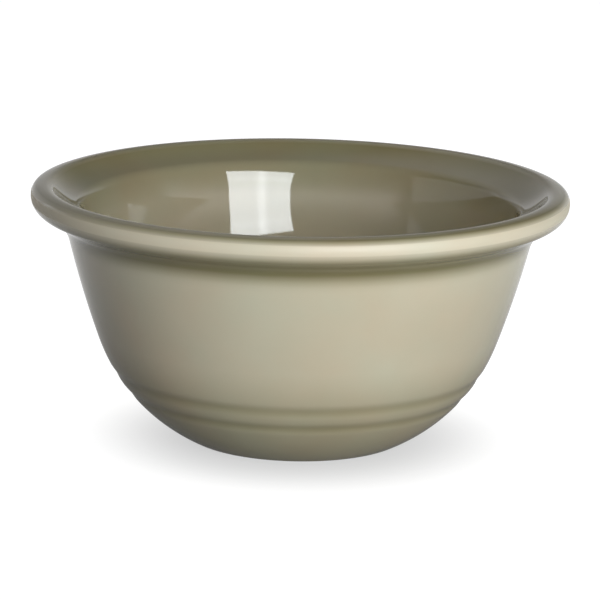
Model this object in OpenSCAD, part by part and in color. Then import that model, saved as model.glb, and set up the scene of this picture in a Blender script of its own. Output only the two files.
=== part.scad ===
// Glazed stoneware prep bowl: a turned clay body with a rolled rim and a bare foot ring,
// and the three coats of glaze that are fired on to it.
// Millimetres, +Z up. The origin is the middle of the foot, on the surface that the bowl stands on.
// Every outline is a half section, drawn with x as the radius and y as the height.

/* [Rim] */
// Diameter over the rim
rim_d = 160; // [145:1:175]
// Height from the foot to the crest of the rim
height = 77; // [72:1:84]
// How far in from the rim's outside its crest lies
crest_in = 4.2; // [3.8:0.1:4.6]
// Rounding of the rim from its crest inwards
roll_r = 3.9; // [3.5:0.1:4.3]
// Rounding of the rim's top, from its crest outwards
top_r = 7.5; // [6.5:0.5:9]
// Rounding of the rim's upper outer corner
corner_r = 2.5; // [2:0.1:3]
// Lean of the rim's outer face where that corner runs into it, in degrees from upright
face_lean = 12; // [8:1:16]
// Radius of the outer face, down to the rim's underside
face_r = 5.1; // [4.6:0.1:5.6]
// How far the rim stands out past the wall at the neck
overhang = 11; // [10:0.5:13]
// Slope of the rim's underside, in degrees from level
under_slope = 26; // [22:1:32]
// Slope of the flange inside the roll, in degrees from level
flange_slope = 24; // [20:1:28]
// Drop from the crest to the corner where the flange meets the inner wall
shoulder_drop = 5.7; // [5.2:0.1:6.4]
// Rounding of that corner
shoulder_r = 4; // [2.5:0.5:6]
// Radius of the hollow line between the roll and the flange
cove_r = 20; // [10:1:24]
// Rounding between the wall and the rim's underside
neck_r = 11; // [8:0.5:13]

/* [Wall] */
// Thickness of the wall where its inside is steepest, measured level, glaze included
wall_t = 6.3; // [5.6:0.1:7]
// Drop from the crest to the neck, where the overhang and the lean are measured
neck_drop = 15; // [13:0.5:17]
// Lean of the wall at the neck, in degrees from upright
wall_lean = 13.5; // [11:0.5:16]
// Radius of the upper wall's slight curve
wall_r = 300; // [240:10:400]
// Radius of the belly, outside
belly_r = 54; // [50:1:58]
// Drop from the crest to where the inside is steepest
turn_drop = 16; // [14:0.5:18]
// Lean of the inside there, in degrees from upright
inner_lean = 10; // [8:0.5:12]
// Radius of the inside's flare from there up to the shoulder
flare_r = 72; // [50:2:110]
// Radius of the inside from there down to the hollow
inner_r = 95; // [80:5:140]
// Radius of the hollow's lower curve, inside
hollow_r = 36; // [30:1:42]
// Height of the hollow's floor above the table
floor_h = 7; // [6:0.5:9]

/* [Foot] */
// Outer diameter of the flat face that the bowl stands on
foot_d = 57; // [52:1:62]
// Width of that flat ring
foot_w = 6.5; // [4:0.5:9]
// Rounding from the flat ring up into the belly
foot_edge_r = 8; // [5:0.5:11]
// Rounding of the ring's inner edge
foot_lip_r = 1; // [0.6:0.1:1.6]
// Depth of the well inside the ring
well_depth = 2; // [1.6:0.1:2.6]
// Radius of the hollow line round the well
well_r = 4; // [3:0.5:6]

/* [Turned grooves] */
// Number of soft grooves turned into the belly
groove_count = 2; // [1:1:3]
// Height of the top groove above the table
groove_h = 21.3; // [18:0.1:24]
// Distance between grooves, along the belly
groove_pitch = 7.3; // [6.2:0.1:9]
// Width of a groove, along the belly
groove_w = 6; // [3:0.5:6]
// Depth of a groove
groove_depth = 0.25; // [0.1:0.05:0.6]

/* [Glaze] */
// Thickness of the fired glaze
glaze_t = 0.4; // [0.2:0.05:0.6]
// Height above the table at which the glaze stops, on both sides of the bare ring
glaze_line_h = 1.2; // [1:0.1:1.4]

/* [Hidden] */

// How far a straight step may lie inside its true arc
arc_tol = 0.01;
// Turn of the section between two points of the belly, in degrees
belly_step = 0.75;
// Share of the room beside the wall that the foot's rounding may take
edge_share = 0.9;
// Facets of a drawn turn
$fn = 120;
clay_colour = "#b7a68c";
glaze_colour = "#aba48c";

// Point at an angle on a circle
function polar(c, r, a) = c + r * [cos(a), sin(a)];
// Angle of the line from one point to another
function heading(p, q) = atan2(q.y - p.y, q.x - p.x);
// Points along an arc, without its first one, which ends the stretch before it
function arc(c, r, a0, a1) =
    let (n = ceil(abs(a1 - a0) / (2 * acos(1 - arc_tol / r))))
    [for (i = [1:n]) polar(c, r, a0 + (a1 - a0) * i / n)];
// Point at distance rp from p and rq from q, on the left of the way from p to q
function meet(p, rp, q, rq) =
    let (gap = norm(q - p))
    let (along = (gap * gap + rp * rp - rq * rq) / (2 * gap))
    p + along * (q - p) / gap + sqrt(rp * rp - along * along) * [p.y - q.y, q.x - p.x] / gap;
// Point on the line from p along the unit vector u, on its way out of the circle of radius r round c
function leave(p, u, c, r) =
    let (d = p - c)
    p + u * (sqrt((d * u) * (d * u) - d * d + r * r) - d * u);
function reversed(list) = [for (i = [len(list) - 1:-1:0]) list[i]];

// The rim's four roundings: the roll inside its crest, then its top, its corner and its face outside
crest_x = rim_d / 2 - crest_in;
roll_c = [crest_x, height - roll_r];
top_c = [crest_x, height - top_r];
corner_a = acos((crest_in - face_r + (face_r - corner_r) * cos(face_lean)) / (top_r - corner_r));
corner_c = polar(top_c, top_r - corner_r, corner_a);
face_c = polar(corner_c, corner_r - face_r, face_lean);

// Unit vectors along and square to the rim's two slopes
under_u = [cos(under_slope), sin(under_slope)];
under_n = [-sin(under_slope), cos(under_slope)];
flange_u = [cos(flange_slope), sin(flange_slope)];
flange_n = [-sin(flange_slope), cos(flange_slope)];

// Outer wall: the upper curve leans at the neck, and the belly joins it to the foot's rounding
neck_point = [rim_d / 2 - overhang, height - neck_drop];
wall_c = neck_point - wall_r * [cos(wall_lean), -sin(wall_lean)];
foot_p = [foot_d / 2, 0];
clay_r = wall_r - glaze_t;
edge_room = (clay_r * clay_r - (foot_p - wall_c) * (foot_p - wall_c)) / (2 * (clay_r - wall_c.y));
edge_r = min(foot_edge_r, edge_share * edge_room);
edge_c = foot_p + [0, edge_r];
belly_c = meet(wall_c, wall_r - belly_r, edge_c, belly_r - glaze_t - edge_r);
neck_c = leave(face_c - (face_r + neck_r) * under_n, under_u, wall_c, wall_r + neck_r);
wall_a = heading(wall_c, belly_c);
neck_a = heading(wall_c, neck_c);
foot_a = heading(belly_c, edge_c);

// Glaze line: on the belly, or on the foot's rounding where the belly starts higher up
line_a = -asin(1 - glaze_line_h / edge_r);
on_belly = foot_a < line_a;
glaze_a = on_belly ? -asin((belly_c.y - glaze_line_h) / (belly_r - glaze_t)) : foot_a;
bare_a = on_belly ? foot_a : line_a;

// Inside: a flare up to the shoulder and a rounded wall down to the hollow, which meet where it is steepest
turn_y = height - turn_drop;
turn_p = [wall_c.x + sqrt(wall_r * wall_r - pow(turn_y - wall_c.y, 2)) - wall_t, turn_y];
turn_n = [-cos(inner_lean), sin(inner_lean)];
flare_c = turn_p - flare_r * turn_n;
inner_c = turn_p + inner_r * turn_n;
shoulder_h = height - shoulder_drop;
shoulder_corner = [flare_c.x - sqrt(flare_r * flare_r - pow(shoulder_h - flare_c.y, 2)), shoulder_h];
shoulder_c = leave(shoulder_corner - shoulder_r * flange_n, -flange_u, flare_c, flare_r - shoulder_r);
shoulder_a = heading(flare_c, shoulder_c);
hollow_y = floor_h + hollow_r;
hollow_c = [inner_c.x + sqrt(pow(inner_r - hollow_r, 2) - pow(hollow_y - inner_c.y, 2)), hollow_y];
hollow_a = heading(inner_c, hollow_c);
cove_rise = (shoulder_corner - roll_c) * flange_n + cove_r;
cove_run = sqrt(pow(roll_r + cove_r, 2) - cove_rise * cove_rise);
cove_c = roll_c + cove_rise * flange_n - cove_run * flange_u;
cove_a = heading(roll_c, cove_c);
flange_a = 90 + flange_slope;

// Foot ring, and the well inside it
ring_in = foot_d / 2 - foot_w;
lip_c = [ring_in, foot_lip_r];
well_y = well_depth - well_r;
well_c = [ring_in - sqrt(pow(well_r + foot_lip_r, 2) - pow(foot_lip_r - well_y, 2)), well_y];
lip_a = heading(well_c, lip_c);
well_glaze_a = asin((glaze_line_h - well_y) / well_r);

// Depth of the turned grooves at an angle on the belly: each is one wave of a cosine
groove_a = -asin((belly_c.y - groove_h) / belly_r);
function groove(a, i) =
    let (s = belly_r * (a - groove_a) * PI / 180 + i * groove_pitch)
    abs(s) < groove_w / 2 ? groove_depth * (1 + cos(360 * s / groove_w)) / 2 : 0;
function grooves(a, i = 0) = i == groove_count ? 0 : groove(a, i) + grooves(a, i + 1);
// Points along the belly from one angle to another, a depth below the finished surface
function belly(depth, a0, a1) =
    let (n = ceil((a1 - a0) / belly_step))
    [for (i = [1:n]) let (a = a0 + (a1 - a0) * i / n) polar(belly_c, belly_r - depth - grooves(a), a)];

// Point on the glaze line, a depth below the finished surface
function glaze_line(depth) = [
    on_belly
        ? polar(belly_c, belly_r - depth - grooves(glaze_a), glaze_a)
        : polar(edge_c, edge_r + glaze_t - depth, line_a)
];

// Outside of the bowl from the glaze line to the crest, a depth below the finished surface
function outside(depth) = concat(
    on_belly ? [] : arc(edge_c, edge_r + glaze_t - depth, line_a, foot_a),
    belly(depth, glaze_a, wall_a),
    arc(wall_c, wall_r - depth, wall_a, neck_a),
    arc(neck_c, neck_r + depth, neck_a + 180, under_slope + 90),
    [polar(face_c, face_r - depth, under_slope - 90)],
    arc(face_c, face_r - depth, under_slope - 90, 0),
    arc(face_c, face_r - depth, 0, face_lean),
    arc(corner_c, corner_r - depth, face_lean, corner_a),
    arc(top_c, top_r - depth, corner_a, 90)
);

// Inside of the bowl from the crest to the middle of the floor, a depth below the finished surface
function inside(depth) = concat(
    arc(roll_c, roll_r - depth, 90, cove_a),
    arc(cove_c, cove_r + depth, cove_a + 180, flange_a + 180),
    [polar(shoulder_c, shoulder_r - depth, flange_a)],
    arc(shoulder_c, shoulder_r - depth, flange_a, shoulder_a),
    arc(flare_c, flare_r - depth, shoulder_a, 180 - inner_lean),
    arc(inner_c, inner_r + depth, -inner_lean, hollow_a),
    arc(hollow_c, hollow_r + depth, hollow_a, -90),
    [[0, floor_h - depth]]
);

// Well from its middle to the line where its glaze stops, a depth below the clay
function well(depth) = concat(
    [[0, well_depth - depth], [well_c.x, well_depth - depth]],
    arc(well_c, well_r - depth, 90, well_glaze_a)
);

// Crest of the rim, where the inner and outer coats meet
function crest(depth) = [polar(roll_c, roll_r - depth, 90)];

// Fired clay body: floor, wall and rolled rim in one piece, with the foot ring left bare
module stoneware_body() {
    color(clay_colour)
        rotate_extrude()
            polygon(concat(
                well(0),
                arc(well_c, well_r, well_glaze_a, lip_a),
                arc(lip_c, foot_lip_r, lip_a + 180, 270),
                [foot_p],
                arc(edge_c, edge_r, -90, bare_a),
                on_belly ? glaze_line(glaze_t) : [],
                outside(glaze_t),
                inside(glaze_t)
            ));
}

// Coat poured into the bowl, from the floor up to the crest of the rim
module inner_glaze() {
    color(glaze_colour)
        rotate_extrude()
            polygon(concat(
                crest(0),
                inside(0),
                reversed(inside(glaze_t)),
                crest(glaze_t)
            ));
}

// Coat on the outside, from the crest of the rim down to the line above the bare foot
module outer_glaze() {
    color(glaze_colour)
        rotate_extrude()
            polygon(concat(
                glaze_line(0),
                outside(0),
                reversed(outside(glaze_t)),
                glaze_line(glaze_t)
            ));
}

// Coat inside the foot's well, on the underside of the floor
module base_glaze() {
    color(glaze_colour)
        rotate_extrude()
            polygon(concat(well(glaze_t), reversed(well(0))));
}

stoneware_body();
inner_glaze();
outer_glaze();
base_glaze();
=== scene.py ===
import math

import bpy
import numpy as np
from mathutils import Matrix, Vector


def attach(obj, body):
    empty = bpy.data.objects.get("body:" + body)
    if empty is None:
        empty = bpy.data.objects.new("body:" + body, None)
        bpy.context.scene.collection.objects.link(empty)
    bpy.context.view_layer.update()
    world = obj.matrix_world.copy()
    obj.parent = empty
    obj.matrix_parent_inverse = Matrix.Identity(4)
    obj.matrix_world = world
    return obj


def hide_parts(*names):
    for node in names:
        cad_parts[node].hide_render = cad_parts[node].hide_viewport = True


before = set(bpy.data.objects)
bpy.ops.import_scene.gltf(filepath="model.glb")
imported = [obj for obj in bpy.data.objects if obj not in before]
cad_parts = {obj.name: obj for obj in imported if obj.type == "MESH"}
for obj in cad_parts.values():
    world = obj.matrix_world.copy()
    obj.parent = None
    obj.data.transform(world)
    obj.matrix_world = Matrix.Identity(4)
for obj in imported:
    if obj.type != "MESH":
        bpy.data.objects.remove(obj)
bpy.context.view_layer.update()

MM = 0.001

# Section of the bowl, in millimetres and degrees, as the solids have it. The solids' turned faces are drawn with
# straight facets, and RIM_R keeps the smooth rim inside their box.
RIM_R = 79.97
HEIGHT = 77.0
CREST_IN = 4.2  # from the rim's edge inwards to its crest
ROLL_R = 3.9  # roll on the inner side of the crest
TOP_R = 7.5  # roll on the outer side of the crest
CORNER_R = 2.5  # between that roll and the rim's face
FACE_LEAN = 12.0
FACE_R = 5.1
OVERHANG = 11.0  # from the rim's edge inwards to the wall
UNDER_SLOPE = 26.0  # underside of the rim
FLANGE_SLOPE = 24.0  # inner side of the rim
SHOULDER_DROP = 5.7
SHOULDER_R = 4.0
COVE_R = 20.0  # between the flange and the roll
NECK_R = 11.0  # between the underside of the rim and the wall
WALL_T = 6.3  # level, where the inside is steepest
NECK_DROP = 15.0
WALL_LEAN = 13.5
WALL_R = 300.0
BELLY_R = 54.0
TURN_DROP = 16.0  # down to where the inside is steepest
INNER_LEAN = 10.0
FLARE_R = 72.0  # inside, above its steepest place
INNER_R = 95.0  # inside, below it
HOLLOW_R = 36.0
FLOOR_H = 7.0
FOOT_R = 28.5
FOOT_W = 6.5
FOOT_EDGE_R = 8.0
FOOT_LIP_R = 1.0
WELL_DEPTH = 2.0
WELL_R = 4.0
GROOVE_COUNT = 2
GROOVE_H = 21.3
GROOVE_PITCH = 7.3
GROOVE_W = 6.0
GROOVE_DEPTH = 0.25
GLAZE_T = 0.4
GLAZE_LINE_H = 1.2

# Fineness of the surfaces, in millimetres and degrees
TURN_STEPS = 288  # steps of a full turn
LONG_STEP = 0.8  # longest step of a section in view
HIDDEN_STEP = 3.0  # longest step of one between clay and glaze
TURN_STEP = 3.0  # largest turn of an arc's step
ARC_STEPS = 40  # most steps that the turn asks for on an arc in view
CREST_STEP = 0.03  # step on either side of the crest
END_STEPS = 8  # steps round the end of a coat
SAME_POINT = 1e-6  # how close two points are when they are one
SHARP_ANGLE = 50.0  # from which angle an edge is sharp

# How much the grooves add to the outer coat's level: partly glaze that pools in them, partly painted shade
GROOVE_POOL_AND_SHADE = 0.6

# Taupe gloss glaze: its colour where the coat is thin and painted light falls, and where it is deep and painted shade
# falls; sizes in millimetres, and depths on the scale of pooling and painted light and shade given below
GLAZE_THIN_AND_LIT = "#e1d5c0"
GLAZE_DEEP_AND_SHADED = "#908660"
GLAZE_DEPTHS = (-0.85, 1.65)  # between which its colour changes
GLAZE_IOR = 1.6
CLOUD_SIZE = 18.0
CLOUD_DEPTH = 0.3
DRIFT_COOL = "#f4fffc"
DRIFT_WARM = "#fff5ec"
DRIFT_SIZE = 25.0
WAVE_SIZE = 9.0
WAVE_HEIGHT = 0.003
DRY_DEPTHS = (-1.0, -0.4)  # between which its roughness changes
DRY_ROUGHNESS = (0.5, 0.04)

# Bare fired stoneware: sizes in millimetres
CLAY_DARK = "#b39f82"
CLAY_PALE = "#cdbb9f"
CLAY_ROUGHNESS = 0.85
CLAY_IOR = 1.5
GRAIN_SIZE = 0.8
GRAIN_HEIGHT = 0.05
GRAIN_STRENGTH = 0.6

# Surroundings in mirror images, behind the bowl and ahead of it: where their middle is, as a turn to the right in
# degrees, how close to it they start and are full, as cosines, from which height of the sky to which they go from pale
# to dim, as sines, and the two levels
BEHIND_TURN = 180.0
BEHIND_SPAN = (0.5, 0.78)
BEHIND_RISE = (0.05, 0.5)
BEHIND_LEVELS = (0.6, 0.06)
AHEAD_TURN = 12.0
AHEAD_SPAN = (0.25, 0.46)
AHEAD_RISE = (0.087, 0.29)
AHEAD_LEVELS = (1.1, 0.0)
# A brighter patch of the sky in mirror images: where it is, as a turn to the right and a height in degrees, how far
# out it reaches, as a cosine, and how much it adds
GLOW_TURN = -145.0
GLOW_RISE = 40.0
GLOW_EDGE = 0.8
GLOW_LEVEL = 0.45
# Even light from all round, for everything but the camera and mirror images
FILL = 0.07

# Floor, in millimetres: how bright it looks under the bowl, where its shadow is painted, and away from it, and from
# where to where that changes, to the camera and in mirror images, and its colour under the lamps
FLOOR_SIZE = 4000.0
FLOOR_GAP = 0.2  # below the foot
SHADE_IN = 30.0
SHADE_OUT = 72.0
SHADE_LEVEL = 0.6
FLOOR_LEVEL = 1.0
MIRROR_SHADOW_OUT = 240.0
MIRROR_SHADOW_LEVEL = 0.1
MIRROR_FAR = 0.65
FLOOR_COLOUR = (0.18, 0.18, 0.18, 1)

# Softbox cloth, sideways and upwards, on a front that runs from -1 to 1: how far its edges are pulled in, and where
# its tubes show, how wide and how much brighter, and its colour
CLOTH_PULL = (0.12, 0.04)
TUBE_PLACE = (-0.07, 0.62)
TUBE_WIDTH = (0.22, 0.16)
TUBE_GAIN = (0.25, 0.12)
CLOTH_COLOUR = (0.92, 0.97, 1.0, 1)

SPOT_BLEND = 0.8  # how soft the spot's edge is
SENSOR_W = 36.0  # camera's sensor, in millimetres
WHITE = (1, 1, 1, 1)


def unit(angle):
    """Unit vector at an angle in degrees from the level."""
    return np.array([math.cos(math.radians(angle)), math.sin(math.radians(angle))])


def heading(p, q):
    """Angle in degrees of the way from one point to another."""
    return math.degrees(math.atan2(q[1] - p[1], q[0] - p[0]))


def meet(p, rp, q, rq):
    """Point at distance rp from p and rq from q, on the left of the way from p to q."""
    gap = np.hypot(*(q - p))
    along = (gap**2 + rp**2 - rq**2) / (2 * gap)
    across = np.array([p[1] - q[1], q[0] - p[0]]) / gap
    return p + along * (q - p) / gap + math.sqrt(rp**2 - along**2) * across


def leave(p, u, c, r):
    """Point where the line from p along u leaves the circle of radius r round c."""
    d = p - c
    return p + u * (math.sqrt((d @ u) ** 2 - d @ d + r**2) - d @ u)


def arc(centre, radius, start, end, step=LONG_STEP):
    """Points of an arc, both ends included: centre plus radius times the unit vector at evenly spaced angles."""
    turn = abs(end - start)
    by_turn = min(turn / TURN_STEP, ARC_STEPS * LONG_STEP / step)
    count = max(2, math.ceil(max(math.radians(turn) * radius / step, by_turn)))
    angles = np.radians(np.linspace(start, end, count + 1))
    return centre + radius * np.stack([np.cos(angles), np.sin(angles)], axis=1)


def stretch(start, end, step=LONG_STEP):
    """Points of a straight stretch, both ends included, evenly spaced."""
    count = max(1, math.ceil(np.hypot(*(np.subtract(end, start))) / step))
    return np.linspace(start, end, count + 1)


def joined(*stretches):
    """Stretches of a section end to end, with the points that two of them share kept once."""
    points = np.concatenate(stretches)
    apart = np.hypot(*np.diff(points, axis=0).T) > SAME_POINT
    return points[np.concatenate([[True], apart])]


# Rim: centres of its arcs, and the ways along and out of its two slopes
roll_c = np.array([RIM_R - CREST_IN, HEIGHT - ROLL_R])
top_c = np.array([RIM_R - CREST_IN, HEIGHT - TOP_R])
corner_reach = CREST_IN - FACE_R + (FACE_R - CORNER_R) * unit(FACE_LEAN)[0]
corner_a = math.degrees(math.acos(corner_reach / (TOP_R - CORNER_R)))
corner_c = top_c + (TOP_R - CORNER_R) * unit(corner_a)
face_c = corner_c + (CORNER_R - FACE_R) * unit(FACE_LEAN)
under_u, under_n = unit(UNDER_SLOPE), unit(UNDER_SLOPE + 90)
flange_u, flange_n = unit(FLANGE_SLOPE), unit(FLANGE_SLOPE + 90)

# Outside: centres of its arcs, each tangent to the next, and the angles where they meet
wall_c = np.array([RIM_R - OVERHANG, HEIGHT - NECK_DROP]) - WALL_R * unit(-WALL_LEAN)
edge_c = np.array([FOOT_R, FOOT_EDGE_R])
belly_c = meet(wall_c, WALL_R - BELLY_R, edge_c, BELLY_R - GLAZE_T - FOOT_EDGE_R)
neck_c = leave(face_c - (FACE_R + NECK_R) * under_n, under_u, wall_c, WALL_R + NECK_R)
wall_a = heading(wall_c, belly_c)
neck_a = heading(wall_c, neck_c)
foot_a = heading(belly_c, edge_c)
glaze_a = -math.degrees(math.asin((belly_c[1] - GLAZE_LINE_H) / (BELLY_R - GLAZE_T)))
groove_a = -math.degrees(math.asin((belly_c[1] - GROOVE_H) / BELLY_R))

# Inside, in the same way
turn_h = HEIGHT - TURN_DROP
turn_p = np.array([wall_c[0] + math.sqrt(WALL_R**2 - (turn_h - wall_c[1]) ** 2) - WALL_T, turn_h])
flare_c = turn_p - FLARE_R * unit(180 - INNER_LEAN)
inner_c = turn_p + INNER_R * unit(180 - INNER_LEAN)
shoulder_h = HEIGHT - SHOULDER_DROP
shoulder_corner = np.array([flare_c[0] - math.sqrt(FLARE_R**2 - (shoulder_h - flare_c[1]) ** 2), shoulder_h])
shoulder_c = leave(shoulder_corner - SHOULDER_R * flange_n, -flange_u, flare_c, FLARE_R - SHOULDER_R)
shoulder_a = heading(flare_c, shoulder_c)
hollow_h = FLOOR_H + HOLLOW_R
hollow_c = np.array([inner_c[0] + math.sqrt((INNER_R - HOLLOW_R) ** 2 - (hollow_h - inner_c[1]) ** 2), hollow_h])
hollow_a = heading(inner_c, hollow_c)
cove_rise = (shoulder_corner - roll_c) @ flange_n + COVE_R
cove_c = roll_c + cove_rise * flange_n - math.sqrt((ROLL_R + COVE_R) ** 2 - cove_rise**2) * flange_u
cove_a = heading(roll_c, cove_c)
flange_a = 90 + FLANGE_SLOPE
crest_step_a = math.degrees(CREST_STEP / ROLL_R)

# Underside
ring_in = FOOT_R - FOOT_W
lip_c = np.array([ring_in, FOOT_LIP_R])
well_h = WELL_DEPTH - WELL_R
well_c = np.array([ring_in - math.sqrt((WELL_R + FOOT_LIP_R) ** 2 - (FOOT_LIP_R - well_h) ** 2), well_h])
lip_a = heading(well_c, lip_c)
well_glaze_a = math.degrees(math.asin((GLAZE_LINE_H - well_h) / WELL_R))


def grooves(angles):
    """Depth of the turned grooves at angles on the belly: one wave of a cosine for each groove, a pitch apart."""
    along = BELLY_R * np.radians(angles - groove_a)[:, None] + GROOVE_PITCH * np.arange(GROOVE_COUNT)
    wave = (1 + np.cos(2 * np.pi * along / GROOVE_W)) / 2
    return GROOVE_DEPTH * np.where(np.abs(along) < GROOVE_W / 2, wave, 0).sum(axis=1)


def belly(depth, step=LONG_STEP):
    """Belly from the glaze line to the wall: an arc, less the depth of its grooves."""
    count = math.ceil(math.radians(wall_a - glaze_a) * BELLY_R / step)
    angles = np.linspace(glaze_a, wall_a, count + 1)
    ray = np.stack([np.cos(np.radians(angles)), np.sin(np.radians(angles))], axis=1)
    return belly_c + (BELLY_R - depth - grooves(angles))[:, None] * ray


def outside(depth, step=LONG_STEP):
    """Outside of the bowl from the glaze line up to the crest, a depth below the finished surface."""
    return joined(
        belly(depth, min(step, LONG_STEP)),
        arc(wall_c, WALL_R - depth, wall_a, neck_a, step),
        arc(neck_c, NECK_R + depth, neck_a + 180, UNDER_SLOPE + 90, step),
        arc(face_c, FACE_R - depth, UNDER_SLOPE - 90, FACE_LEAN, step),
        arc(corner_c, CORNER_R - depth, FACE_LEAN, corner_a, step),
        arc(top_c, TOP_R - depth, corner_a, 90 - crest_step_a, step),
        arc(top_c, TOP_R - depth, 90 - crest_step_a, 90, step)[[0, -1]],
    )


def inside(depth, step=LONG_STEP):
    """Inside of the bowl from the crest down to the middle of the floor, a depth below the finished surface."""
    roll = ROLL_R - depth
    floor = FLOOR_H - depth
    return joined(
        arc(roll_c, roll, 90, 90 + crest_step_a, step)[[0, -1]],
        arc(roll_c, roll, 90 + crest_step_a, cove_a, step),
        arc(cove_c, COVE_R + depth, cove_a + 180, flange_a + 180, step),
        arc(shoulder_c, SHOULDER_R - depth, flange_a, shoulder_a, step),
        arc(flare_c, FLARE_R - depth, shoulder_a, 180 - INNER_LEAN, step),
        arc(inner_c, INNER_R + depth, -INNER_LEAN, hollow_a, step),
        arc(hollow_c, HOLLOW_R + depth, hollow_a, -90, step),
        stretch([hollow_c[0], floor], [0, floor], step),
    )


def well(depth):
    """Underside of the floor from its middle to the line where its glaze stops, a depth below the clay."""
    return joined(
        stretch([0, WELL_DEPTH - depth], [well_c[0], WELL_DEPTH - depth]),
        arc(well_c, WELL_R - depth, 90, well_glaze_a),
    )


def rounded_end(below, above):
    """Rounded end of a coat, from its clay side round to its outer side: half a turn on the two points' middle."""
    middle, out = (below + above) / 2, (above - below) / 2
    ahead = np.array([out[1], -out[0]])
    turn = np.linspace(0, np.pi, END_STEPS + 1)[1:-1, None]
    return middle - np.cos(turn) * out + np.sin(turn) * ahead


def outer_pooling_and_shading(section):
    """Level of the outer coat's pooling and painted light and shade, where 0 is usual, less is thinner and paler and
    more is
    thicker and darker: straight between the heights listed, and higher in the grooves. The rim's face is paler with
    painted light; under the rim, the rim's top and the belly towards the foot are darker with painted shade; in the
    grooves it is partly glaze that pools and partly painted shade."""
    r, z = section.T
    heights, levels = np.array([
        # Darker towards the foot: painted shade
        (0, 0.7),  # towards the foot
        (20, 0.3),
        (34, -0.35),  # wall
        (neck_c[1] + 1.4, -0.35),
        (neck_c[1] + 3.0, -0.15),
        # Darker from the neck up under the rim: painted shade
        (neck_c[1] + 4.6, 0.35),
        (neck_c[1] + 0.65 * NECK_R, 1.5),  # hollow line under the rim
        (face_c[1] - FACE_R * under_n[1], 1.5),
        # Rim's face, paler: painted light
        (face_c[1] - 1, -1),  # rim's face
        (corner_c[1] + 0.9, -1),
        # Rim's top corner, darker: painted shade
        (corner_c[1] + CORNER_R * unit(corner_a)[1], 1.3),
        (HEIGHT, 0.4),  # crest
    ]).T
    angles = np.degrees(np.arctan2(z - belly_c[1], r - belly_c[0]))
    return np.interp(z, heights, levels) + GROOVE_POOL_AND_SHADE * grooves(angles) / GROOVE_DEPTH


def inner_pooling_and_shading(section):
    """Level of the inner coat's pooling and painted shade, on the same scale: straight between the heights listed. Its
    shoulder, flange and the hollow beside the crest are darker with painted shade.
    """
    heights, levels = np.array([
        (FLOOR_H, 0.5),
        (20, 0),
        (55, -0.1),  # wall
        (62, 0.05),
        # Shoulder and flange, darker upwards: painted shade
        (65, 0.4),
        (69, 0.75),
        (shoulder_h + 1, 0.85),
        # Beside the crest, darker: painted shade
        (HEIGHT - 1, 1.3),  # hollow line beside the crest
        (HEIGHT, 0.4),  # crest
    ]).T
    return np.interp(section[:, 1], heights, levels)


def turned(name, section, material, node, closed, pool_and_shading=None):
    """Solid of revolution: a section's point (r, z) at turn t is (r cos t, r sin t, z).

    The section runs with the solid on its left. A closed one joins its last point to its first. An open one starts
    and ends on the axis, where each end is a single point with a fan of triangles round it."""
    rings = section if closed else section[1:-1]
    count = len(rings)
    turn = np.arange(TURN_STEPS) * 2 * np.pi / TURN_STEPS
    r, z = rings[:, :1], rings[:, 1:]
    grid = np.stack([r * np.cos(turn), r * np.sin(turn), np.broadcast_to(z, (count, TURN_STEPS))], axis=2)
    points = grid.reshape(-1, 3)
    i = np.arange(count if closed else count - 1)[:, None]
    j = np.arange(TURN_STEPS)
    upper, ahead = (i + 1) % count, (j + 1) % TURN_STEPS
    corners = [(i, j), (i, ahead), (upper, ahead), (upper, j)]
    quads = np.stack([np.broadcast_to(a * TURN_STEPS + b, (len(i), TURN_STEPS)) for a, b in corners], axis=2)
    faces = quads.reshape(-1, 4).tolist()
    if not closed:
        ends = np.array([[0, 0, section[0, 1]], [0, 0, section[-1, 1]]])
        first, last = len(points), len(points) + 1
        top = (count - 1) * TURN_STEPS
        faces += np.stack([np.full(TURN_STEPS, first), ahead, j], axis=1).tolist()
        faces += np.stack([np.full(TURN_STEPS, last), top + j, top + ahead], axis=1).tolist()
        points = np.concatenate([points, ends])
    mesh = bpy.data.meshes.new(name)
    mesh.from_pydata((points * MM).tolist(), [], faces)
    mesh.shade_smooth()
    mesh.set_sharp_from_angle(angle=math.radians(SHARP_ANGLE))
    mesh.materials.append(material)
    # Each point's level of pooling and painted light and shade, which the glaze turns into its colour
    if pool_and_shading is not None:
        around = np.repeat(pool_and_shading if closed else pool_and_shading[1:-1], TURN_STEPS)
        level = around if closed else np.concatenate([around, pool_and_shading[[0, -1]]])
        mesh.attributes.new("pooling_and_shading", "FLOAT", "POINT").data.foreach_set("value", level.astype(np.float32))
    piece = bpy.data.objects.new(name, mesh)
    bpy.context.scene.collection.objects.link(piece)
    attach(piece, "root")
    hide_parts(node)


def linear(colour):
    """Linear colour with full opacity from an sRGB hex value."""
    part = np.array([int(colour[k:k + 2], 16) for k in (1, 3, 5)]) / 255
    return (*np.where(part <= 0.04045, part / 12.92, ((part + 0.055) / 1.055) ** 2.4), 1.0)


def add(tree, kind, inputs=None, **settings):
    """Adds a node, sets its fields, and gives each named input a value or a link from another node's output."""
    made = tree.nodes.new(kind)
    for field, value in settings.items():
        setattr(made, field, value)
    for key, value in (inputs or {}).items():
        if isinstance(value, bpy.types.NodeSocket):
            tree.links.new(value, made.inputs[key])
        else:
            made.inputs[key].default_value = value
    return made


def calc(tree, operation, *values):
    """Result of an operation on numbers."""
    return add(tree, "ShaderNodeMath", dict(enumerate(values)), operation=operation).outputs[0]


def ramp(tree, value, ends, levels, kind="SMOOTHSTEP"):
    """Number that goes from one level to another while a value goes from one end to the other."""
    return add(tree, "ShaderNodeMapRange", {
        "Value": value, "From Min": ends[0], "From Max": ends[1], "To Min": levels[0], "To Max": levels[1],
    }, interpolation_type=kind).outputs[0]


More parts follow.
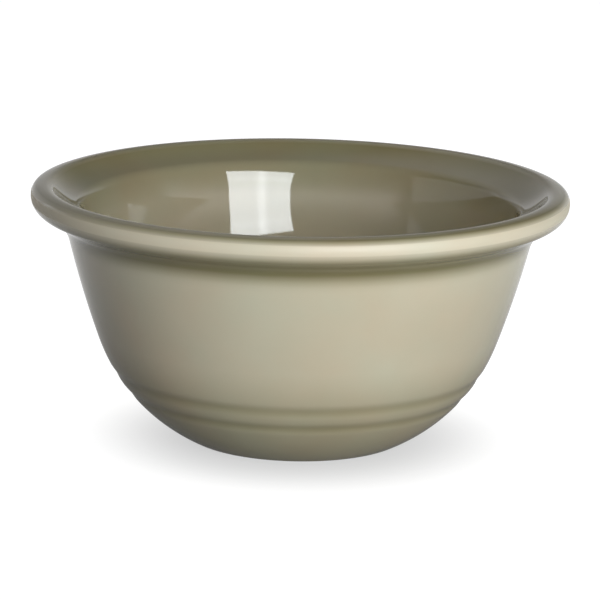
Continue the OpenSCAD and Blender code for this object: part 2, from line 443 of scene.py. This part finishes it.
def mix(tree, share, first, second, kind="RGBA", blend="MIX"):
    """Mix of two colours or numbers. The node has sockets of its own for each kind."""
    at, result = {"RGBA": (6, 2), "FLOAT": (2, 0)}[kind]
    made = add(tree, "ShaderNodeMix", {0: share, at: first, at + 1: second}, data_type=kind, blend_type=blend)
    return made.outputs[result]


def noise(tree, place, size, detail):
    """Soft noise with spots about as wide as size, in millimetres."""
    return add(tree, "ShaderNodeTexNoise", {
        "Vector": place, "Scale": 1 / (size * MM), "Detail": detail,
    }).outputs["Fac"]


def seen_rays(tree):
    """1 for rays from the camera, and 1 for rays from the camera or into a mirror image or glass."""
    path = add(tree, "ShaderNodeLightPath")
    camera_or_gloss = calc(tree, "ADD", path.outputs["Is Camera Ray"], path.outputs["Is Glossy Ray"])
    return path.outputs["Is Camera Ray"], calc(tree, "ADD", camera_or_gloss, path.outputs["Is Transmission Ray"])


def blank(name):
    """Empty node material with an output node: the material, its tree and the output."""
    material = bpy.data.materials.new(name)
    material.use_nodes = True
    material.node_tree.nodes.clear()
    return material, material.node_tree, add(material.node_tree, "ShaderNodeOutputMaterial")


def taupe_gloss_glaze():
    """Taupe gloss glaze on stoneware, dipped and fired: a coat of opaque glass with a clear mirror image of the lamp on
    it, faintly clouded, its colour running from pale to deep with the level each point carries: painted light on the
    rim's face, painted shade under the rim, on its top, on the inner shoulder and flange and towards the foot, and
    partly real pooling in the grooves."""
    material, tree, output = blank("taupe_gloss_glaze")
    place = add(tree, "ShaderNodeTexCoord").outputs["Object"]
    pooling_and_shading = add(tree, "ShaderNodeAttribute", attribute_name="pooling_and_shading").outputs["Fac"]
    # Clouding where the dip ran a little thicker, added to the level of pooling and painted light and shade
    depth = calc(tree, "MULTIPLY_ADD", noise(tree, place, CLOUD_SIZE, 2.0), CLOUD_DEPTH, pooling_and_shading)
    share = ramp(tree, depth, GLAZE_DEPTHS, (0.0, 1.0), "LINEAR")
    # Colour from thin and pale, where light is painted, to deep, where shade is painted
    tone_with_shading = mix(tree, share, linear(GLAZE_THIN_AND_LIT), linear(GLAZE_DEEP_AND_SHADED))
    # Warmer and cooler drifts of the fired colour
    tint = mix(tree, noise(tree, place, DRIFT_SIZE, 3.0), linear(DRIFT_COOL), linear(DRIFT_WARM))
    # Slow waves of the glaze's skin, which make the edge of a mirror image waver
    bump = add(tree, "ShaderNodeBump", {
        "Height": noise(tree, place, WAVE_SIZE, 1.0), "Strength": 1.0, "Distance": WAVE_HEIGHT * MM,
    })
    shader = add(tree, "ShaderNodeBsdfPrincipled", {
        "Base Color": mix(tree, 1.0, tone_with_shading, tint, blend="MULTIPLY"),
        # Drier and less mirror-like where the coat is thin
        "Roughness": ramp(tree, pooling_and_shading, DRY_DEPTHS, DRY_ROUGHNESS, "LINEAR"),
        "IOR": GLAZE_IOR, "Normal": bump.outputs["Normal"],
    })
    tree.links.new(shader.outputs["BSDF"], output.inputs["Surface"])
    return material


def bare_stoneware():
    """Bare fired stoneware, wiped clean of glaze: dry, buff and matt, with a fine sandy grain."""
    material, tree, output = blank("bare_stoneware")
    place = add(tree, "ShaderNodeTexCoord").outputs["Object"]
    # Sandy grain, coarser than the real grit so that it shows
    grain = noise(tree, place, GRAIN_SIZE, 3.0)
    bump = add(tree, "ShaderNodeBump", {"Height": grain, "Strength": GRAIN_STRENGTH, "Distance": GRAIN_HEIGHT * MM})
    shader = add(tree, "ShaderNodeBsdfPrincipled", {
        "Base Color": mix(tree, grain, linear(CLAY_DARK), linear(CLAY_PALE)),
        "Roughness": CLAY_ROUGHNESS, "IOR": CLAY_IOR, "Normal": bump.outputs["Normal"],
    })
    tree.links.new(shader.outputs["BSDF"], output.inputs["Surface"])
    return material


glaze = taupe_gloss_glaze()
clay = bare_stoneware()

clay_section = joined(
    well(0),
    arc(well_c, WELL_R, well_glaze_a, lip_a),
    arc(lip_c, FOOT_LIP_R, lip_a + 180, 270),
    stretch([ring_in, 0], [FOOT_R, 0]),
    arc(edge_c, FOOT_EDGE_R, -90, foot_a),
    outside(GLAZE_T, HIDDEN_STEP),
    inside(GLAZE_T, HIDDEN_STEP),
)
turned("fired_clay", clay_section, clay, "stoneware_body", closed=False)

inner_section = joined(inside(GLAZE_T, HIDDEN_STEP)[::-1], inside(0))
turned("inner_coat", inner_section, glaze, "inner_glaze", closed=False, pool_and_shading=inner_pooling_and_shading(inner_section))

outer_clay, outer_skin = outside(GLAZE_T, HIDDEN_STEP), outside(0)
outer_section = joined(outer_clay[::-1], rounded_end(outer_clay[0], outer_skin[0]), outer_skin)
turned("outer_coat", outer_section, glaze, "outer_glaze", closed=True, pool_and_shading=outer_pooling_and_shading(outer_section))

well_clay, well_skin = well(0), well(GLAZE_T)
base_section = joined(well_skin, rounded_end(well_clay[-1], well_skin[-1])[::-1], well_clay[::-1])
turned("base_coat", base_section, glaze, "base_glaze", closed=False)


def studio_floor():
    """Plain white floor, a hair under the foot, with its shadow painted under and close round it, and see-through from
    below.
    """
    mesh = bpy.data.meshes.new("floor")
    half = FLOOR_SIZE / 2 * MM
    mesh.from_pydata([(-half, -half, 0), (half, -half, 0), (half, half, 0), (-half, half, 0)], [], [(0, 1, 2, 3)])
    floor = bpy.data.objects.new("floor", mesh)
    floor.location[2] = -FLOOR_GAP * MM
    bpy.context.scene.collection.objects.link(floor)
    material, tree, output = blank("white_floor")
    by_camera, seen = seen_rays(tree)
    place = add(tree, "ShaderNodeTexCoord").outputs["Object"]
    out = add(tree, "ShaderNodeVectorMath", {0: place}, operation="LENGTH").outputs["Value"]
    # Painted shadow round the foot: light and tight to the camera, deep and wide in mirror images
    mirrored = ramp(tree, out, (SHADE_IN * MM, MIRROR_SHADOW_OUT * MM), (MIRROR_SHADOW_LEVEL, MIRROR_FAR))
    camera_shadow = ramp(tree, out, (SHADE_IN * MM, SHADE_OUT * MM), (SHADE_LEVEL, FLOOR_LEVEL))
    level = mix(tree, by_camera, mirrored, camera_shadow, "FLOAT")
    white = add(tree, "ShaderNodeEmission", {"Color": WHITE, "Strength": level})
    lit = add(tree, "ShaderNodeBsdfDiffuse", {"Color": FLOOR_COLOUR})
    both = add(tree, "ShaderNodeAddShader", {0: white.outputs[0], 1: lit.outputs[0]})
    top = add(tree, "ShaderNodeMixShader", {0: seen, 1: lit.outputs[0], 2: both.outputs[0]})
    clear = add(tree, "ShaderNodeBsdfTransparent")
    below = add(tree, "ShaderNodeNewGeometry").outputs["Backfacing"]
    surface = add(tree, "ShaderNodeMixShader", {0: below, 1: top.outputs[0], 2: clear.outputs[0]})
    tree.links.new(surface.outputs[0], output.inputs["Surface"])
    mesh.materials.append(material)


def studio_world():
    """Surroundings that are white for the camera, pale behind and ahead of the bowl and dark at its sides and overhead
    in mirror images, and a faint even fill for everything else."""
    world = bpy.data.worlds.new("studio")
    bpy.context.scene.world = world
    world.use_nodes = True
    tree = world.node_tree
    tree.nodes.clear()
    by_camera, seen = seen_rays(tree)
    way = add(tree, "ShaderNodeTexCoord").outputs["Generated"]
    height = add(tree, "ShaderNodeSeparateXYZ", {0: way}).outputs["Z"]

    def closeness(turn, rise):
        """Cosine of the angle to a place in the sky."""
        place = (*(unit(turn - 90) * unit(rise)[0]), unit(rise)[1])
        return add(tree, "ShaderNodeVectorMath", {0: way, 1: place}, operation="DOT_PRODUCT").outputs["Value"]

    def side(turn, span, rise, levels):
        """One side of the surroundings: pale near its middle and low down."""
        near = ramp(tree, closeness(turn, 0), span, (0.0, 1.0))
        return calc(tree, "MULTIPLY", near, ramp(tree, height, rise, levels))

    behind = side(BEHIND_TURN, BEHIND_SPAN, BEHIND_RISE, BEHIND_LEVELS)
    ahead = side(AHEAD_TURN, AHEAD_SPAN, AHEAD_RISE, AHEAD_LEVELS)
    glow = ramp(tree, closeness(GLOW_TURN, GLOW_RISE), (GLOW_EDGE, 1.0), (0.0, GLOW_LEVEL))
    sky = calc(tree, "ADD", calc(tree, "ADD", behind, ahead), glow)
    bright = calc(tree, "MAXIMUM", sky, by_camera)
    white = add(tree, "ShaderNodeBackground", {"Color": WHITE, "Strength": bright})
    fill = add(tree, "ShaderNodeBackground", {"Color": WHITE, "Strength": FILL})
    both = add(tree, "ShaderNodeMixShader", {0: seen, 1: fill.outputs[0], 2: white.outputs[0]})
    add(tree, "ShaderNodeOutputWorld", {"Surface": both.outputs[0]})


def softbox(name, turn, distance, bottom, top, width, radiance, aside=0, mirrored=True, lighting=True):
    """Soft lamp that stands upright, turned from the front to the right by turn, at a distance from the bowl's middle
    and aside to the right of that, in degrees and millimetres. Radiance is how many times brighter than white paper
    it looks, mirrored is whether the glaze shows its image, and lighting is whether it lights colours."""
    lamp = bpy.data.lights.new(name, "AREA")
    lamp.shape = "RECTANGLE"
    lamp.size, lamp.size_y = width * MM, (top - bottom) * MM
    lamp.energy = radiance * math.pi * lamp.size * lamp.size_y
    box = bpy.data.objects.new(name, lamp)
    way = Vector((math.sin(math.radians(turn)), -math.cos(math.radians(turn)), 0))
    right = Vector((-way[1], way[0], 0))
    middle = (way * distance + right * aside + Vector((0, 0, (top + bottom) / 2))) * MM
    box.matrix_world = Matrix.Translation(middle) @ (-way).to_track_quat("-Z", "Y").to_matrix().to_4x4()
    box.visible_camera = False
    box.visible_glossy = mirrored
    box.visible_diffuse = lighting
    bpy.context.scene.collection.objects.link(box)
    return lamp


def hollow_spot(height, reach, size, level):
    """Soft spot straight above the bowl that lights its hollow as far out as reach, in millimetres, from a lamp of
    that size. Level is how bright white paper looks under it."""
    lamp = bpy.data.lights.new("hollow_spot", "SPOT")
    lamp.spot_size = 2 * math.atan2(reach, height)
    lamp.spot_blend = SPOT_BLEND
    lamp.shadow_soft_size = size * MM / 2
    lamp.energy = level * 4 * math.pi**2 * (height * MM) ** 2
    spot = bpy.data.objects.new("hollow_spot", lamp)
    spot.location[2] = height * MM
    spot.visible_camera = False
    spot.visible_glossy = False
    bpy.context.scene.collection.objects.link(spot)


def cloth_front(lamp):
    """Front of a cloth softbox: its edges are pulled in between the corners, and its tubes show through as a brighter
    upright band and two level ones."""
    lamp.use_nodes = True
    tree = lamp.node_tree
    tree.nodes.clear()
    place = add(tree, "ShaderNodeSeparateXYZ", {0: add(tree, "ShaderNodeNewGeometry").outputs["Parametric"]})
    across = [calc(tree, "MULTIPLY_ADD", place.outputs[k], 2.0, -1.0) for k in (0, 1)]
    out = [calc(tree, "ABSOLUTE", one) for one in across]
    square = [calc(tree, "MULTIPLY", one, one) for one in out]
    lit, bands = [], []
    for k, source in enumerate((across[0], out[1])):
        edge = calc(tree, "MULTIPLY_ADD", square[1 - k], CLOTH_PULL[k], 1 - CLOTH_PULL[k])
        lit.append(calc(tree, "LESS_THAN", out[k], edge))
        off = calc(tree, "ABSOLUTE", calc(tree, "SUBTRACT", source, TUBE_PLACE[k]))
        bands.append(ramp(tree, off, (0.0, TUBE_WIDTH[k]), (1 + TUBE_GAIN[k], 1.0)))
    level = calc(tree, "MULTIPLY", calc(tree, "MULTIPLY", *lit), calc(tree, "MULTIPLY", *bands))
    front = add(tree, "ShaderNodeEmission", {"Color": CLOTH_COLOUR, "Strength": level})
    add(tree, "ShaderNodeOutputLight", {"Surface": front.outputs[0]})


def camera(target, distance, elevation, roll, lens):
    """Camera in front of the bowl: distance in millimetres from target, looking down by elevation, turned by roll."""
    data = bpy.data.cameras.new("camera")
    data.lens = lens
    data.sensor_width = SENSOR_W
    eye = bpy.data.objects.new("camera", data)
    back = Vector((0, -math.cos(math.radians(elevation)), math.sin(math.radians(elevation))))
    right = Vector((1, 0, 0))
    up = back.cross(right)
    turn = math.radians(roll)
    x = math.cos(turn) * right + math.sin(turn) * up
    y = -math.sin(turn) * right + math.cos(turn) * up
    place = (Vector(target) + distance * back) * MM
    eye.matrix_world = Matrix.Translation(place) @ Matrix((x, y, back)).transposed().to_4x4()
    bpy.context.scene.collection.objects.link(eye)
    bpy.context.scene.camera = eye


studio_floor()
studio_world()
key = softbox("key_softbox", turn=23.4, distance=1000, bottom=0, top=490, width=735, radiance=9.6, aside=12)
cloth_front(key)
softbox("left_card", turn=-44, distance=900, bottom=0, top=180, width=1200, radiance=0.75)
softbox("left_panel", turn=-102, distance=900, bottom=100, top=450, width=1260, radiance=0.5, lighting=False)
softbox("right_card", turn=112, distance=900, bottom=0, top=115, width=1300, radiance=3.2, mirrored=False)
softbox("high_softbox", turn=-135, distance=900, bottom=600, top=1100, width=700, radiance=1.2, mirrored=False)
softbox("back_softbox", turn=190, distance=900, bottom=0, top=220, width=1000, radiance=7.5, mirrored=False)
hollow_spot(height=700, reach=60, size=40, level=0.4)
camera(target=(0.468, 0, 41.707), distance=1000, elevation=13.052, roll=1.103, lens=200.28)
bpy.context.scene.view_settings.view_transform = "Standard"
